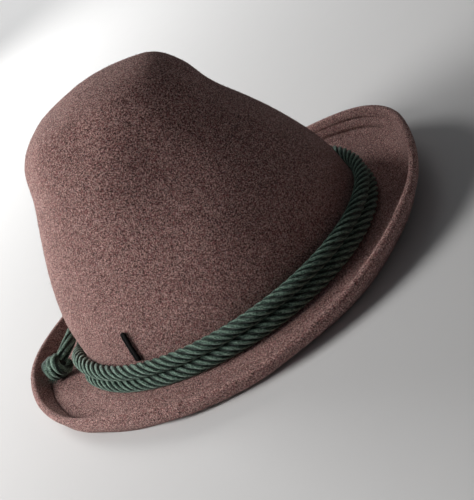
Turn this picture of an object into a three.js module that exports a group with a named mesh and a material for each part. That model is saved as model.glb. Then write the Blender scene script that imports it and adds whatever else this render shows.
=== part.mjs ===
// Tyrolean hat: one blocked felt hood with a soft dome and a turned-up brim,
// a long twisted cord wound twice round the foot of the crown, the cord's knot
// in the trough at the back, and a short thread loop on the wearer's right side.
// Lengths in mm. +X is the front of the hat, +Y the wearer's left, +Z up.
// Heights are counted from the lower turn of the cord, then the whole hat is
// set down so that the flattened underside of the brim lies at z = 0.
import * as THREE from 'three';

// Felt hood
const HEAD_HALF_LENGTH = 102;
const HEAD_HALF_WIDTH = 82;
const CROWN_HEIGHT = 140;
const BRIM_WIDTH = 40;
const FELT_THICKNESS = 2.4;
const EDGE_TURN = 7;
const REST_FLATTENING = 1.1;
const HOOD_COLUMNS = 56;

// Cord, knot and thread loop
const CORD_DIAMETER = 8.5;
const CLEARANCE = 0.3;
const CORD_SIDES = 8;
const CORD_STEP_DEG = 4;
const KNOT_LENGTH = 16;
const KNOT_DIAMETER = 14.5;
const KNOT_SEGMENTS = 16;
const LOOP_WIDTH = 3;
const LOOP_THICKNESS = 1.8;
const LOOP_AZIMUTH_DEG = -119.4;
const LOOP_TOP_SHARE = 0.21;

// The edge of the brim is turned under over EDGE_TURN, two layers of felt
const EDGE_THICKNESS = 2 * FELT_THICKNESS;
// Distance between two cord turns that lie against each other
const CORD_PITCH = CORD_DIAMETER + CLEARANCE;
// The brim is folded out of the crown round the lower cord
const CREASE_RADIUS = CORD_DIAMETER / 2 + CLEARANCE + 0.15;

// Outside of the crown from the cord up to the top, as oval sections.
// height: share of CROWN_HEIGHT; middle: how far the section's middle lies in
// front, and length: its half length, shares of HEAD_HALF_LENGTH;
// side: half width, share of HEAD_HALF_WIDTH
const CROWN_SECTIONS = [
  { height: 0.000, middle: 0.020, length: 0.980, side: 1.000 },
  { height: 0.080, middle: 0.018, length: 0.967, side: 0.974 },
  { height: 0.220, middle: 0.022, length: 0.937, side: 0.923 },
  { height: 0.400, middle: 0.023, length: 0.844, side: 0.841 },
  { height: 0.560, middle: 0.026, length: 0.735, side: 0.737 },
  { height: 0.720, middle: 0.020, length: 0.608, side: 0.624 },
  { height: 0.850, middle: 0.022, length: 0.533, side: 0.515 },
  { height: 0.940, middle: 0.038, length: 0.401, side: 0.395 },
  { height: 0.985, middle: 0.043, length: 0.170, side: 0.180 },
  { height: 1.000, middle: 0.043, length: 0.000, side: 0.000 },
];

// Foot of the crown: the oval that the brim and the cord go round
const FOOT_MIDDLE = CROWN_SECTIONS[0].middle * HEAD_HALF_LENGTH;
const FOOT_HALF_LENGTH = CROWN_SECTIONS[0].length * HEAD_HALF_LENGTH;

// Top of the brim, a row every 30 degrees from the front to the back, the same
// on both sides. Distances out from the crown and heights above the lower cord
// as shares of BRIM_WIDTH: where the brim folds up, and where its edge is.
// softness: share of each leg that the fold rounds off
const BRIM_ROWS = [
  { foldOut: 0.816, foldUp: -0.063, edgeOut: 0.892, edgeUp: 0.445, softness: 0.58 },
  { foldOut: 0.823, foldUp: -0.100, edgeOut: 0.958, edgeUp: 0.334, softness: 0.51 },
  { foldOut: 0.763, foldUp: -0.178, edgeOut: 0.879, edgeUp: 0.125, softness: 0.39 },
  { foldOut: 0.739, foldUp: -0.165, edgeOut: 0.781, edgeUp: 0.012, softness: 0.49 },
  { foldOut: 0.793, foldUp: -0.197, edgeOut: 0.693, edgeUp: 0.034, softness: 0.31 },
  { foldOut: 0.785, foldUp: -0.128, edgeOut: 0.875, edgeUp: 0.026, softness: 0.17 },
  { foldOut: 0.851, foldUp: -0.121, edgeOut: 0.980, edgeUp: 0.105, softness: 0.14 },
];

// Soft dents pressed into the crown, the same on both sides.
// azimuth and reach in degrees from the front; height and rise as shares of
// CROWN_HEIGHT; depth as a share of FELT_THICKNESS
const DENTS = [
  { azimuth: 68, reach: 38, height: 0.64, rise: 0.20, depth: 2.1 },
  { azimuth: 108, reach: 26, height: 0.90, rise: 0.10, depth: 1.5 },
];

// Dents fade out over this share of CROWN_HEIGHT below the top
const DENT_FADE = 0.09;

// Centre line of the cord: turn in degrees from the back centre over the
// wearer's left side, out and up in shares of CORD_PITCH from the crown's foot.
// It comes out of the knot, runs round as the upper turn, drops at the back
// under its own beginning, runs round as the lower turn and ends beneath itself.
const CORD_ROUTE = [
  { turn: -5, out: 1.72, up: 0.76 },
  { turn: -3.5, out: 1.36, up: 0.90 },
  { turn: -1.5, out: 1.02, up: 1.04 },
  { turn: 1.5, out: 0.74, up: 1.12 },
  { turn: 6, out: 0.52, up: 1.09 },
  { turn: 12, out: 0.43, up: 1.00 },
  { turn: 337, out: 0.42, up: 1.00 },
  { turn: 342, out: 0.43, up: 0.90 },
  { turn: 347, out: 0.44, up: 0.70 },
  { turn: 351, out: 0.46, up: 0.50 },
  { turn: 354.5, out: 0.49, up: 0.28 },
  { turn: 358, out: 0.52, up: 0.07 },
  { turn: 363, out: 0.54, up: 0.00 },
  { turn: 696, out: 0.54, up: 0.00 },
];

// Knot: middle of the lump, in shares of CORD_PITCH, and the way its axis points
const KNOT_TURN_DEG = -7;
const KNOT_OUT = 2.52;
const KNOT_UP = 0.40;
const KNOT_AXIS = new THREE.Vector3(0.84, -0.06, -0.54).normalize();
const KNOT_WRAPS = 3;

const rad = (degrees) => degrees * Math.PI / 180;

// Smooth curve through four neighbouring values
function through(p0, p1, p2, p3, u) {
  const a = 2 * p1 + (p2 - p0) * u;
  const b = (2 * p0 - 5 * p1 + 4 * p2 - p3) * u * u;
  const c = (3 * p1 - p0 - 3 * p2 + p3) * u * u * u;
  return (a + b + c) / 2;
}

// One named column of the crown table at section number t. Beyond the top the
// table is mirrored, so that the dome closes flat; mirror is -1 for half sizes.
function crownColumn(name, t) {
  const last = CROWN_SECTIONS.length - 1;
  const mirror = name === 'length' || name === 'side' ? -1 : 1;
  const value = (i) => {
    if (i < 0) return 2 * CROWN_SECTIONS[0][name] - CROWN_SECTIONS[1][name];
    if (i > last) return mirror * CROWN_SECTIONS[2 * last - i][name];
    return CROWN_SECTIONS[i][name];
  };
  const k = Math.min(Math.floor(t), last - 1);
  return through(value(k - 1), value(k), value(k + 1), value(k + 2), t - k);
}

// One named column of the brim table at an azimuth in radians
function brimColumn(name, azimuth) {
  const last = BRIM_ROWS.length - 1;
  const turned = Math.abs(Math.atan2(Math.sin(azimuth), Math.cos(azimuth)));
  const t = turned / Math.PI * last;
  const value = (i) => BRIM_ROWS[i < 0 ? -i : i > last ? 2 * last - i : i][name];
  const k = Math.min(Math.floor(t), last - 1);
  return through(value(k - 1), value(k), value(k + 1), value(k + 2), t - k);
}

// Crown without its dents; t runs from 0 at the cord to 9 at the top
function plainCrown(t, azimuth) {
  const middle = crownColumn('middle', t) * HEAD_HALF_LENGTH;
  const length = crownColumn('length', t) * HEAD_HALF_LENGTH;
  const side = crownColumn('side', t) * HEAD_HALF_WIDTH;
  const up = crownColumn('height', t) * CROWN_HEIGHT;
  return new THREE.Vector3(middle + length * Math.cos(azimuth), side * Math.sin(azimuth), up);
}

function dentDepth(share, azimuth) {
  const degrees = Math.abs(Math.atan2(Math.sin(azimuth), Math.cos(azimuth))) * 180 / Math.PI;
  let depth = 0;
  for (const dent of DENTS) {
    const across = (degrees - dent.azimuth) / dent.reach;
    const along = (share - dent.height) / dent.rise;
    depth += dent.depth * FELT_THICKNESS * Math.exp(-across * across - along * along);
  }
  return depth * Math.min(1, (1 - share) / DENT_FADE);
}

// Outward normal of a surface given as point(s, azimuth), s running outward
// from the top of the crown
function normalOf(point, s, azimuth) {
  const step = 0.02;
  const ahead = point(s + step, azimuth).sub(point(s - step, azimuth));
  const round = point(s, azimuth + step).sub(point(s, azimuth - step));
  return ahead.cross(round).normalize();
}

const TOP = CROWN_SECTIONS.length - 1;

// Top side of the brim; u is 0..1 round the crease, 1..2 over the flat part,
// 2..3 round the fold and 3..4 up the turned-up edge
function brimPoint(u, azimuth) {
  const foldOut = brimColumn('foldOut', azimuth) * BRIM_WIDTH;
  const foldUp = brimColumn('foldUp', azimuth) * BRIM_WIDTH;
  const edgeOut = brimColumn('edgeOut', azimuth) * BRIM_WIDTH;
  const edgeUp = brimColumn('edgeUp', azimuth) * BRIM_WIDTH;
  const softness = brimColumn('softness', azimuth);
  const r = CREASE_RADIUS;
  const beforeOut = foldOut + (r - foldOut) * softness;
  const beforeUp = foldUp + (-r - foldUp) * softness;
  const afterOut = foldOut + (edgeOut - foldOut) * softness;
  const afterUp = foldUp + (edgeUp - foldUp) * softness;
  let out;
  let up;
  if (u <= 1) {
    out = r - r * Math.cos(u * Math.PI / 2);
    up = -r * Math.sin(u * Math.PI / 2);
  } else if (u <= 2) {
    const v = u - 1;
    out = r + (beforeOut - r) * v;
    up = -r + (beforeUp + r) * v * v * (1.5 - 0.5 * v);
  } else if (u <= 3) {
    const v = u - 2;
    out = (1 - v) * (1 - v) * beforeOut + 2 * v * (1 - v) * foldOut + v * v * afterOut;
    up = (1 - v) * (1 - v) * beforeUp + 2 * v * (1 - v) * foldUp + v * v * afterUp;
  } else {
    const v = u - 3;
    out = afterOut + (edgeOut - afterOut) * v;
    up = afterUp + (edgeUp - afterUp) * v;
  }
  const x = FOOT_MIDDLE + (FOOT_HALF_LENGTH + out) * Math.cos(azimuth);
  const y = (HEAD_HALF_WIDTH + out) * Math.sin(azimuth);
  return new THREE.Vector3(x, y, up);
}

// Outer and upper side of the whole hood; s is 0 at the top of the crown,
// TOP at the cord and TOP + 4 at the edge of the brim
function feltPoint(s, azimuth) {
  if (s > TOP) return brimPoint(s - TOP, azimuth);
  const t = TOP - s;
  const point = plainCrown(t, azimuth);
  if (s < 0.05) return point;
  const depth = dentDepth(crownColumn('height', t), azimuth);
  const normal = normalOf((a, b) => plainCrown(Math.min(Math.max(TOP - a, 0), TOP), b), s, azimuth);
  return point.addScaledVector(normal, -depth);
}

// Normal of the hood, kept on its own side at the two ends of the surface
function feltNormal(s, azimuth) {
  if (s < 0.05) return new THREE.Vector3(0, 0, 1);
  const end = TOP + 4;
  return normalOf((a, b) => feltPoint(Math.min(Math.max(a, 0), end), b), s, azimuth);
}

// Thickness of the felt; it grows to EDGE_THICKNESS where the edge is turned under
function thicknessAt(s, azimuth) {
  if (s <= TOP + 1) return FELT_THICKNESS;
  const away = feltPoint(s, azimuth).distanceTo(feltPoint(TOP + 4, azimuth)) / EDGE_TURN;
  const single = THREE.MathUtils.smoothstep(away, 0.65, 1.1);
  return EDGE_THICKNESS + (FELT_THICKNESS - EDGE_THICKNESS) * single;
}

// Inner and under side of the hood
function underPoint(s, azimuth) {
  return feltPoint(s, azimuth).addScaledVector(feltNormal(s, azimuth), -thicknessAt(s, azimuth));
}

// Closed mesh from rings of points; the first and last rows are single points
function closedRings(first, rings, last) {
  const n = rings[0].length;
  const positions = [first.x, first.y, first.z];
  for (const ring of rings) {
    for (const p of ring) positions.push(p.x, p.y, p.z);
  }
  positions.push(last.x, last.y, last.z);
  const index = [];
  const at = (row, column) => 1 + row * n + (column % n);
  for (let column = 0; column < n; column++) index.push(0, at(0, column), at(0, column + 1));
  for (let row = 0; row + 1 < rings.length; row++) {
    for (let column = 0; column < n; column++) {
      const a = at(row, column);
      const b = at(row, column + 1);
      const c = at(row + 1, column + 1);
      const d = at(row + 1, column);
      index.push(a, d, c, a, c, b);
    }
  }
  const end = 1 + rings.length * n;
  const bottom = rings.length - 1;
  for (let column = 0; column < n; column++) {
    index.push(end, at(bottom, column + 1), at(bottom, column));
  }
  const geometry = new THREE.BufferGeometry();
  geometry.setAttribute('position', new THREE.Float32BufferAttribute(positions, 3));
  geometry.setIndex(index);
  geometry.computeVertexNormals();
  return geometry;
}

function ringAt(columns, make) {
  return Array.from({ length: columns }, (_, i) => make(i / columns * 2 * Math.PI));
}

// Height of the floor under the hat: the lowest part of the brim's underside,
// raised by what the felt gives where it rests
function restHeight() {
  let lowest = Infinity;
  for (let azimuth = 0; azimuth < 180; azimuth += 5) {
    for (let s = TOP + 1; s <= TOP + 4; s += 0.1) {
      lowest = Math.min(lowest, underPoint(s, rad(azimuth)).z);
    }
  }
  return lowest + REST_FLATTENING;
}

const REST = restHeight();

// Felt hood: outer skin, rounded edge, inner skin
function feltHood() {
  const outerRows = [0.3, 0.6, 1, 1.5, 2, 2.5, 3, 3.5, 4, 4.5, 5, 5.5, 6, 6.5, 7, 7.5, 8, 8.5, 9,
    9.34, 9.67, 10, 10.5, 11, 11.33, 11.67, 12, 12.5, 13];
  const innerRows = [13, 12.6, 12.3, 12, 11.67, 11.33, 11, 10, 9.5, 9, 8, 7, 6, 5, 4, 3, 2, 1, 0.5];
  const inside = (s, a) => {
    const p = underPoint(s, a);
    p.z = Math.max(p.z, REST);
    return p;
  };
  const edge = (turn) => (a) => {
    const end = TOP + 4;
    const normal = feltNormal(end, a);
    const along = feltPoint(end, a).sub(feltPoint(end - 0.1, a)).normalize();
    const half = EDGE_THICKNESS / 2;
    return feltPoint(end, a).addScaledVector(normal, half * (Math.cos(turn) - 1))
      .addScaledVector(along, half * Math.sin(turn));
  };
  const rings = [];
  for (const s of outerRows) rings.push(ringAt(HOOD_COLUMNS, (a) => feltPoint(s, a)));
  for (const turn of [45, 90, 135]) rings.push(ringAt(HOOD_COLUMNS, edge(rad(turn))));
  for (const s of innerRows) rings.push(ringAt(HOOD_COLUMNS, (a) => inside(s, a)));
  const top = feltPoint(0, 0);
  const under = top.clone();
  under.z -= FELT_THICKNESS;
  return closedRings(top, rings, under);
}

const HOOD = feltHood();
HOOD.computeBoundingBox();
const MIDDLE_X = (HOOD.boundingBox.min.x + HOOD.boundingBox.max.x) / 2;

// Point beside the foot of the crown; turn in degrees from the back centre over
// the wearer's left, out and up in shares of CORD_PITCH
function besideCrown(turn, out, up) {
  const a = Math.PI - rad(turn);
  const x = FOOT_MIDDLE + (FOOT_HALF_LENGTH + out * CORD_PITCH) * Math.cos(a);
  const y = (HEAD_HALF_WIDTH + out * CORD_PITCH) * Math.sin(a);
  return new THREE.Vector3(x, y, up * CORD_PITCH);
}

function cordPoint(turn) {
  let k = 0;
  while (k < CORD_ROUTE.length - 2 && CORD_ROUTE[k + 1].turn < turn) k++;
  const from = CORD_ROUTE[k];
  const to = CORD_ROUTE[k + 1];
  const u = (turn - from.turn) / (to.turn - from.turn);
  return besideCrown(turn, from.out + (to.out - from.out) * u, from.up + (to.up - from.up) * u);
}

// Round tube with flat ends along a list of points
function tube(points, radiusAt, sides) {
  const rings = [];
  points.forEach((p, i) => {
    const before = points[Math.max(i - 1, 0)];
    const after = points[Math.min(i + 1, points.length - 1)];
    const along = after.clone().sub(before).normalize();
    const side = new THREE.Vector3(0, 0, 1).cross(along).normalize();
    const up = side.clone().cross(along);
    const radius = radiusAt(i / (points.length - 1));
    rings.push(ringAt(sides, (a) => p.clone()
      .addScaledVector(side, radius * Math.cos(a))
      .addScaledVector(up, radius * Math.sin(a))));
  });
  return closedRings(points[0], rings, points[points.length - 1]);
}

function smoothCordPoints() {
  const first = CORD_ROUTE[0].turn;
  const last = CORD_ROUTE[CORD_ROUTE.length - 1].turn;
  const count = Math.round((last - first) / CORD_STEP_DEG);
  const raw = [];
  for (let i = 0; i <= count; i++) raw.push(cordPoint(first + (last - first) * i / count));
  return raw;
}

function cord() {
  return tube(smoothCordPoints(), () => CORD_DIAMETER / 2, CORD_SIDES);
}

// Knot: a lump with rounded wraps, turned about its own axis (local +Z)
function cordKnot() {
  const perWrap = 4;
  const rows = KNOT_WRAPS * perWrap;
  const rings = [];
  const radius = KNOT_DIAMETER / 2;
  for (let i = 1; i < rows; i++) {
    const v = i / rows;
    const z = (0.5 - v) * KNOT_LENGTH;
    const round = Math.sqrt(Math.max(1 - Math.pow(Math.abs(2 * v - 1), 2.6), 0));
    const wrap = 1 - 0.12 * Math.pow(Math.cos(v * KNOT_WRAPS * Math.PI), 2);
    const r = radius * round * wrap;
    rings.push(ringAt(KNOT_SEGMENTS, (a) => new THREE.Vector3(r * Math.cos(a), r * Math.sin(a), z)));
  }
  const bottom = new THREE.Vector3(0, 0, -KNOT_LENGTH / 2);
  const top = new THREE.Vector3(0, 0, KNOT_LENGTH / 2);
  return closedRings(top, rings, bottom);
}

// Thread loop: a flat strand that lies on the felt and dips under the upper cord
function threadLoop() {
  const a = rad(LOOP_AZIMUTH_DEG);
  const bottomShare = (CORD_PITCH + 0.32 * CORD_DIAMETER) / CROWN_HEIGHT;
  const steps = 8;
  const sides = 8;
  const sectionAt = (share) => {
    let low = 0;
    let high = TOP;
    for (let i = 0; i < 40; i++) {
      const middle = (low + high) / 2;
      if (crownColumn('height', middle) < share) low = middle;
      else high = middle;
    }
    return TOP - low;
  };
  const rings = [];
  const ends = [];
  for (let i = 0; i <= steps; i++) {
    const share = LOOP_TOP_SHARE + (bottomShare - LOOP_TOP_SHARE) * i / steps;
    const s = sectionAt(share);
    const normal = feltNormal(s, a);
    const along = feltPoint(s + 0.02, a).sub(feltPoint(s - 0.02, a)).normalize();
    const side = along.clone().cross(normal);
    const p = feltPoint(s, a).addScaledVector(normal, CLEARANCE + LOOP_THICKNESS / 2);
    rings.push(ringAt(sides, (b) => p.clone()
      .addScaledVector(side, LOOP_WIDTH / 2 * Math.cos(b))
      .addScaledVector(normal, LOOP_THICKNESS / 2 * Math.sin(b))));
    ends.push(p);
  }
  return closedRings(ends[0], rings, ends[ends.length - 1]);
}

// Materials
function felt() {
  return new THREE.MeshStandardMaterial({ color: 0x4a3631, roughness: 0.95, metalness: 0 });
}

function cordGreen() {
  return new THREE.MeshStandardMaterial({ color: 0x1f3d31, roughness: 0.8, metalness: 0 });
}

function threadBlack() {
  return new THREE.MeshStandardMaterial({ color: 0x0c0c0d, roughness: 0.85, metalness: 0 });
}

function piece(name, geometry, material) {
  const mesh = new THREE.Mesh(geometry, material);
  mesh.name = name;
  mesh.position.set(-MIDDLE_X, 0, -REST);
  return mesh;
}

function knotPiece() {
  const mesh = piece('cord_knot', cordKnot(), cordGreen());
  mesh.position.add(besideCrown(KNOT_TURN_DEG, KNOT_OUT, KNOT_UP));
  mesh.quaternion.setFromUnitVectors(new THREE.Vector3(0, 0, 1), KNOT_AXIS);
  return mesh;
}

const hat = new THREE.Group();
hat.name = 'tyrolean_hat';
hat.add(piece('felt_hood', HOOD, felt()));
hat.add(piece('cord', cord(), cordGreen()));
hat.add(knotPiece());
hat.add(piece('thread_loop', threadLoop(), threadBlack()));

export default hat;
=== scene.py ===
"""Tyrolean hat: brown wool felt, a doubled green twisted cord with its knot, a thread loop.

Lengths below are in millimetres and become metres when a mesh is written. X is the
front of the hat, Y the wearer's left and Z up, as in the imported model. Heights in the
tables are counted from the lower turn of the cord; HAT_PLACE sets them down on the
floor.
"""

import logging
import math
from dataclasses import dataclass, field
from enum import Enum
from typing import Any, Optional, Union

import bpy
import numpy as np
from mathutils import Matrix, Vector


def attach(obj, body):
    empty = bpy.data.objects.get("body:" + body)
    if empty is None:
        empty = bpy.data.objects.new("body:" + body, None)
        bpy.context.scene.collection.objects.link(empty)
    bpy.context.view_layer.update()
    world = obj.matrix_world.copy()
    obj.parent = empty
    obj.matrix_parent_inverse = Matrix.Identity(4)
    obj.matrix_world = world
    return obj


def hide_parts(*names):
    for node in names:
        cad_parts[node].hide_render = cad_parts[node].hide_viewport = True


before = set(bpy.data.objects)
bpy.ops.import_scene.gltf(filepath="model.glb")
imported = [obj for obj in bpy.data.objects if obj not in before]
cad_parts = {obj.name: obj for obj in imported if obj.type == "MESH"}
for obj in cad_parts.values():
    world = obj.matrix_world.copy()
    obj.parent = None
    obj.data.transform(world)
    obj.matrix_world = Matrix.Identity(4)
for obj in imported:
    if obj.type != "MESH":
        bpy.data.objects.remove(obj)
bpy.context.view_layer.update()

log = logging.getLogger("hat")
Array = np.ndarray
Colour = tuple[float, float, float, float]
MM = 0.001
HAT_PLACE = np.array([-0.4538, 0.0, 8.4380])
UP = np.array([0.0, 0.0, 1.0])
AHEAD = np.array([1.0, 0.0, 0.0])
FULL_TURN = 2 * math.pi
# step for slopes, in section numbers and in radians
SLOPE_STEP = 0.02


class Slot(Enum):
    """Material slots of the record."""

    FELT = "felt"
    CORD = "cord_green"
    THREAD = "thread_black"


# Curves and arrays


def through(table: Array, t: Array, before: Array, after: Array) -> Array:
    """Smooth curve through the rows of a table (Catmull-Rom on the row number).

    Args:
        table: rows of values, shape (n, m).
        t: row numbers, whole or between two rows, any shape.
        before: the row ahead of the first one.
        after: the row behind the last one.

    Returns:
        Values of shape t.shape + (m,).
    """
    rows = np.vstack([before, table, after])
    t = np.clip(t, 0.0, len(table) - 1.0)
    k = np.minimum(t.astype(int), len(table) - 2)
    u = (t - k)[..., None]
    p0, p1, p2, p3 = rows[k], rows[k + 1], rows[k + 2], rows[k + 3]
    linear = 2 * p1 + (p2 - p0) * u
    square = (2 * p0 - 5 * p1 + 4 * p2 - p3) * u**2
    cubic = (3 * p1 - p0 - 3 * p2 + p3) * u**3
    return 0.5 * (linear + square + cubic)


def unit(v: Array) -> Array:
    """Vectors along the last axis, scaled to length one."""
    return v / np.maximum(np.linalg.norm(v, axis=-1, keepdims=True), 1e-12)


def smoothstep(x: Array, low: float, high: float) -> Array:
    """0 below low, 1 above high, 3 q^2 - 2 q^3 between them."""
    q = np.clip((x - low) / (high - low), 0.0, 1.0)
    return q * q * (3 - 2 * q)


def from_front(azimuth: Array) -> Array:
    """Angle away from the front, 0 to pi, the same on both sides of the hat."""
    return np.abs(np.arctan2(np.sin(azimuth), np.cos(azimuth)))


def run_length(line: Array) -> Array:
    """Distance along a line of points from its first one."""
    steps = np.linalg.norm(np.diff(line, axis=0), axis=1)
    return np.concatenate([[0.0], np.cumsum(steps)])


def even_line(line: Array, step: float) -> Array:
    """The same line with its points at even distances.

    Args:
        line: points, shape (n, 3).
        step: distance wanted between two points.

    Returns:
        The new points, shape (m, 3).
    """
    length = run_length(line)
    even = np.linspace(0, length[-1], max(int(length[-1] / step), 2))
    return np.stack([np.interp(even, length, line[:, i]) for i in range(3)], -1)


# Meshes


@dataclass
class MeshParts:
    """Points, faces and map values that are gathered, then written as one mesh."""

    name: str
    fibre_sides: int = 3
    fibre_taper: float = 0.8
    points: list[Array] = field(default_factory=list)
    quads: list[Array] = field(default_factory=list)
    quad_map: list[Array] = field(default_factory=list)
    triangles: list[Array] = field(default_factory=list)
    triangle_map: list[Array] = field(default_factory=list)
    count: int = 0

    def add_rings(self, rings: Array, uv: Optional[Array] = None) -> None:
        """Adds a closed surface made of rings, with a middle point on its first and last ring.

        Args:
            rings: points, shape (rows, columns, 3); the rings run away from a viewer to
                whom they turn clockwise.
            uv: map values, shape (rows, columns + 1, 2), the last column closing the turn.
        """
        rows, columns, _ = rings.shape
        start = self.count
        r, c = np.meshgrid(np.arange(rows - 1), np.arange(columns), indexing="ij")
        after = (c + 1) % columns
        low, high = r * columns, (r + 1) * columns
        corners = (low + c, high + c, high + after, low + after)
        if uv is None:
            uv = np.zeros((rows, columns + 1, 2))
        map_corners = (uv[r, c], uv[r + 1, c], uv[r + 1, c + 1], uv[r, c + 1])
        self.points.append(rings.reshape(-1, 3))
        self.quads.append(np.stack(corners, -1).reshape(-1, 4) + start)
        self.quad_map.append(np.stack(map_corners, -2).reshape(-1, 4, 2))
        self.points.append(np.stack([rings[0].mean(0), rings[-1].mean(0)]))
        k = np.arange(columns)
        after = (k + 1) % columns
        first = start + rows * columns
        last_row = start + (rows - 1) * columns
        self.triangles.append(np.stack([np.full(columns, first), start + k, start + after], -1))
        self.triangles.append(np.stack([np.full(columns, first + 1), last_row + after, last_row + k], -1))
        self.triangle_map.append(np.stack([uv[0, :-1], uv[0, :-1], uv[0, 1:]], -2))
        self.triangle_map.append(np.stack([uv[-1, :-1], uv[-1, 1:], uv[-1, :-1]], -2))
        self.count += rows * columns + 2

    def add_fibres(self, roots: Array, ways: Array, tips: Array, radius: float) -> None:
        """Adds fine bent fibres: of a few sides, two steps long, pointed at the end.

        Args:
            roots: where they start, shape (n, 3).
            ways: from the root to the bend, shape (n, 3).
            tips: from the bend to the point, shape (n, 3).
            radius: of the root.
        """
        n, m = len(roots), self.fibre_sides
        each = 2 * m + 1
        length = np.linalg.norm(ways, axis=1, keepdims=True)
        helper = np.where(np.abs(ways[:, 2:]) < 0.6 * length, UP, AHEAD)
        side = unit(np.cross(helper, ways))
        other = unit(np.cross(ways, side))
        turn = np.arange(m) * FULL_TURN / m
        ring = side[:, None] * np.cos(turn)[:, None] + other[:, None] * np.sin(turn)[:, None]
        low = roots[:, None] + ring * radius
        bend = (roots + ways)[:, None] + ring * radius * self.fibre_taper
        point = (roots + ways + tips)[:, None]
        self.points.append(np.concatenate([low, bend, point], 1).reshape(-1, 3))
        base = self.count + np.arange(n)[:, None, None] * each
        pattern = [[0, k + 1, k] for k in range(1, m - 1)]
        for k in range(m):
            after = (k + 1) % m
            pattern += [[k, after, after + m], [k, after + m, k + m], [k + m, after + m, 2 * m]]
        self.triangles.append((base + np.array(pattern)[None]).reshape(-1, 3))
        self.triangle_map.append(np.zeros((n * len(pattern), 3, 2)))
        self.count += n * each

    def build(self) -> bpy.types.Object:
        """Writes the mesh in metres.

        Returns:
            Its smooth object at the origin.
        """
        points = (np.concatenate(self.points) + HAT_PLACE) * MM
        quads = np.concatenate(self.quads) if self.quads else np.zeros((0, 4), int)
        triangles = np.concatenate(self.triangles) if self.triangles else np.zeros((0, 3), int)
        loops = np.concatenate([quads.ravel(), triangles.ravel()]).astype(np.int32)
        first = np.concatenate([np.arange(len(quads)) * 4, len(quads) * 4 + np.arange(len(triangles)) * 3])
        maps = [m.reshape(-1, 2) for m in self.quad_map + self.triangle_map]
        mesh = bpy.data.meshes.new(self.name)
        mesh.vertices.add(len(points))
        mesh.vertices.foreach_set("co", points.astype(np.float32).ravel())
        mesh.loops.add(len(loops))
        mesh.loops.foreach_set("vertex_index", loops)
        mesh.polygons.add(len(first))
        mesh.polygons.foreach_set("loop_start", first.astype(np.int32))
        layer = mesh.uv_layers.new(name="strand")
        layer.data.foreach_set("uv", np.concatenate(maps).astype(np.float32).ravel())
        mesh.update(calc_edges=True)
        mesh.polygons.foreach_set("use_smooth", np.ones(len(mesh.polygons), bool))
        obj = bpy.data.objects.new(self.name, mesh)
        bpy.context.scene.collection.objects.link(obj)
        return obj


def finish_piece(
    obj: bpy.types.Object, finish: bpy.types.Material, slot: Slot, *nodes: str
) -> bpy.types.Object:
    """Gives a piece its material, its body and the nodes that it stands for.

    Args:
        obj: the finished object.
        finish: its material.
        slot: the record's slot; not used.
        nodes: names of the CAD nodes that it replaces.

    Returns:
        The same object.
    """
    obj.data.materials.clear()
    obj.data.materials.append(finish)
    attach(obj, "root")
    if nodes:
        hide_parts(*nodes)
    log.info("%s: %d faces", obj.name, len(obj.data.polygons))
    return obj


def scatter(rings: Array, count: int, rng: np.random.Generator) -> tuple[Array, Array, Array]:
    """Random places on a surface of rings, as many on each part as its area asks for.

    Args:
        rings: points, shape (rows, columns, 3), closed across the columns.
        count: how many places.
        rng: seeded random numbers.

    Returns:
        The places, the outward normals and one direction along the surface.
    """
    ahead = rings[1:] - rings[:-1]
    round_ = np.roll(rings, -1, axis=1)[:-1] - rings[:-1]
    cross = np.cross(ahead, round_)
    area = np.linalg.norm(cross, axis=-1).ravel()
    pick = rng.choice(len(area), count, p=area / area.sum())
    a, b = rng.random((2, count, 1))
    start = rings[:-1].reshape(-1, 3)[pick]
    along, across = ahead.reshape(-1, 3)[pick], round_.reshape(-1, 3)[pick]
    return start + along * a + across * b, unit(cross.reshape(-1, 3)[pick]), unit(across)


# Shader expressions


@dataclass(frozen=True)
class Wire:
    """One output socket, with the sums that are used on it."""

    sheet: "NodeSheet"
    socket: Any

    def maths(self, operation: str, a: Any, b: Any = 0.0) -> "Wire":
        """Adds a Math node and returns its output."""
        return self.sheet.node("ShaderNodeMath", {"operation": operation}, {0: a, 1: b})

    def __add__(self, other: "Value") -> "Wire":
        """Sum."""
        return self.maths("ADD", self, other)

    __radd__ = __add__

    def __mul__(self, other: "Value") -> "Wire":
        """Product."""
        return self.maths("MULTIPLY", self, other)

    __rmul__ = __mul__

    def __sub__(self, other: "Value") -> "Wire":
        """Difference."""
        return self.maths("SUBTRACT", self, other)

    def __rsub__(self, other: "Value") -> "Wire":
        """Difference from a number."""
        return self.maths("SUBTRACT", other, self)

    def __pow__(self, other: "Value") -> "Wire":
        """Power."""
        return self.maths("POWER", self, other)

    def __abs__(self) -> "Wire":
        """Size without its sign."""
        return self.maths("ABSOLUTE", self)

    def sine(self) -> "Wire":
        """Sine of the value."""
        return self.maths("SINE", self)

    def fraction(self) -> "Wire":
        """Part behind the whole number."""
        return self.maths("FRACT", self)

    def band(self, low: float, high: float) -> "Wire":
        """0 below low, 1 above high, smooth between."""
        inputs = {"Value": self, "From Min": low, "From Max": high}
        return self.sheet.node("ShaderNodeMapRange", {"interpolation_type": "SMOOTHSTEP"}, inputs)


Value = Union[Wire, float]


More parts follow.
